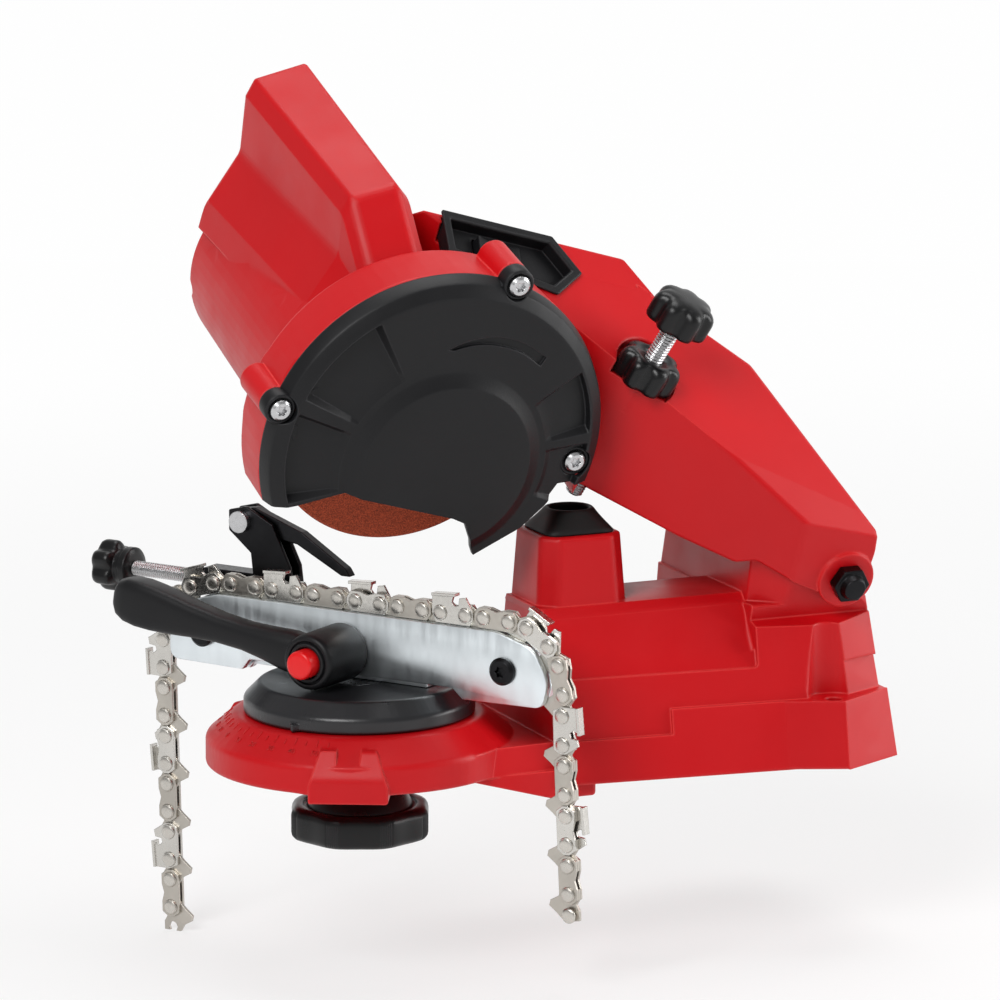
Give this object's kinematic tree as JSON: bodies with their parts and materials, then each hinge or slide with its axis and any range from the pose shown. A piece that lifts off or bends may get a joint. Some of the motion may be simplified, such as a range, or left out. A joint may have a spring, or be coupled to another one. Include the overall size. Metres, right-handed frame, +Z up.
{
  "type": "electric saw chain sharpener",
  "caption": "Bench-mounted saw chain grinder with tilting motor head, guarded wheel, swivelling chain vise with clamping lever, depth stop and a clamped chain.",
  "frame": {"origin": "midway between the two bench screw holes, on the underside of the base", "axes": "+Z up; +X towards the rear, away from the chain vise; -Y towards the side with the wheel guard"},
  "size_m": [0.2794, 0.2017, 0.3386],
  "materials": {
    "red_housing": "satin moulded",
    "black_plastic": "fine grain",
    "rubber_boot": "matt",
    "zinc_plate": "zinc plated",
    "bright_steel": "machined",
    "black_steel": "black oxide",
    "chain_steel": "satin",
    "cutter_chrome": "chrome plated",
    "abrasive": "bonded grit",
    "red_button": "gloss",
    "copper_iron": "laminated"
  },
  "bodies": {
    "base": {"base_shell": "red_housing", "depth_stop": "bright_steel", "spring_boot": "rubber_boot", "lock_washer": "bright_steel"},
    "arm": {"arm_shell": "red_housing", "head_shell": "red_housing", "motor_stator": "copper_iron", "motor_bearings": "bright_steel", "guard_cover": "black_plastic", "guard_screws": "bright_steel", "switch_bezel": "black_plastic", "depth_insert": "bright_steel", "pivot_bolt": "black_steel", "pivot_nut": "black_steel", "cord_gland": "black_plastic"},
    "spindle": {"motor_rotor": "copper_iron", "grinding_wheel": "abrasive", "wheel_flange_inner": "bright_steel", "wheel_flange_outer": "bright_steel", "arbor_nut": "bright_steel"},
    "switch": {"switch_rocker": "black_plastic"},
    "depth_adjuster": {"depth_screw": "bright_steel"},
    "depth_grip": {"depth_knob": "black_plastic"},
    "depth_lock": {"lock_knob": "black_plastic"},
    "table": {"turntable": "black_plastic", "swivel_bolt": "bright_steel", "vise_jaw_front": "zinc_plate", "vise_jaw_rear": "zinc_plate", "vise_screws": "black_steel", "clamp_stud": "bright_steel", "stop_bracket": "black_steel", "pawl_pin": "bright_steel", "chain_cutters": "cutter_chrome", "chain_drive_links": "chain_steel", "chain_side_links": "chain_steel"},
    "table_lock": {"table_lock_knob": "black_plastic"},
    "lever": {"clamp_lever": "black_plastic"},
    "button": {"lever_button": "red_button"},
    "pawl": {"stop_pawl": "black_steel"},
    "feed": {"stop_screw": "bright_steel"},
    "feed_grip": {"stop_knob": "black_plastic"},
    "tail_left": {"chain_tail_left_drive_links": "chain_steel", "chain_tail_left_side_links": "chain_steel", "chain_tail_left_cutters": "cutter_chrome"},
    "tail_right": {"chain_tail_right_drive_links": "chain_steel", "chain_tail_right_side_links": "chain_steel", "chain_tail_right_cutters": "cutter_chrome"}
  },
  "joints": [
    {"name": "arm_hinge", "type": "hinge", "parent": "base", "child": "arm", "pos_m": [0.0077, -0.00439, 0.08485], "axis": [0, -0.9563, -0.2924], "range_deg": [0, 6], "stiffness_Nm_per_rad": 12, "springref_deg": -16.04, "deforming": ["spring_boot"]},
    {"name": "wheel_spin", "type": "hinge", "parent": "arm", "child": "spindle", "pos_m": [-0.1623, -0.02266, 0.14461], "axis": [0, -0.9563, -0.2924], "continuous": true},
    {"name": "switch_rock", "type": "hinge", "parent": "arm", "child": "switch", "pos_m": [-0.11849, -0.00568, 0.19588], "axis": [0.1584, 0.6557, 0.7382], "range_deg": [0, 12]},
    {"name": "depth_travel", "type": "slide", "parent": "arm", "child": "depth_adjuster", "axis": [0.3365, -0.4156, 0.845], "range_m": [0, 0.01]},
    {"name": "depth_turn", "type": "hinge", "parent": "depth_adjuster", "child": "depth_grip", "pos_m": [-0.05816, -0.04295, 0.17699], "axis": [0.3365, -0.4156, 0.845], "range_deg": [0, 2880]},
    {"name": "lock_turn", "type": "hinge", "parent": "arm", "child": "depth_lock", "pos_m": [-0.06691, -0.03214, 0.15502], "axis": [0.3365, -0.4156, 0.845], "range_deg": [-180, 0]},
    {"name": "table_swivel", "type": "hinge", "parent": "base", "child": "table", "pos_m": [-0.172, 0, 0.031], "axis": [0, 0, 1], "range_deg": [-70, 0]},
    {"name": "table_lock_turn", "type": "hinge", "parent": "base", "child": "table_lock", "pos_m": [-0.172, 0, -0.017], "axis": [0, 0, 1], "range_deg": [-180, 0]},
    {"name": "lever_swing", "type": "hinge", "parent": "table", "child": "lever", "pos_m": [-0.18658, -0.00533, 0.0485], "axis": [-0.8192, -0.5736, 0], "range_deg": [-40, 0]},
    {"name": "button_press", "type": "slide", "parent": "lever", "child": "button", "axis": [0.8192, 0.5736, 0], "range_m": [0, 0.0016], "stiffness_N_per_m": 600, "springref_m": -0.001},
    {"name": "pawl_flip", "type": "hinge", "parent": "table", "child": "pawl", "pos_m": [-0.19495, 0.05718, 0.09], "axis": [-0.8192, -0.5736, 0], "range_deg": [0, 14]},
    {"name": "feed_travel", "type": "slide", "parent": "table", "child": "feed", "axis": [0.5736, -0.8192, 0], "range_m": [0, 0.006]},
    {"name": "feed_turn", "type": "hinge", "parent": "feed", "child": "feed_grip", "pos_m": [-0.22994, 0.10715, 0.065], "axis": [0.5736, -0.8192, 0], "range_deg": [0, 2160]},
    {"name": "left_tail_swing", "type": "hinge", "parent": "table", "child": "tail_left", "pos_m": [-0.22328, 0.07323, 0.04226], "axis": [-0.8192, -0.5736, 0], "range_deg": [-15, 0]},
    {"name": "right_tail_swing", "type": "hinge", "parent": "table", "child": "tail_right", "pos_m": [-0.11958, -0.07487, 0.02324], "axis": [-0.8192, -0.5736, 0], "range_deg": [0, 15]}
  ],
  "couplings": [
    {"joint": "depth_turn", "follows": "depth_travel", "rad_per_m": 5026.5},
    {"joint": "feed_turn", "follows": "feed_travel", "rad_per_m": 6283.2}
  ]
}
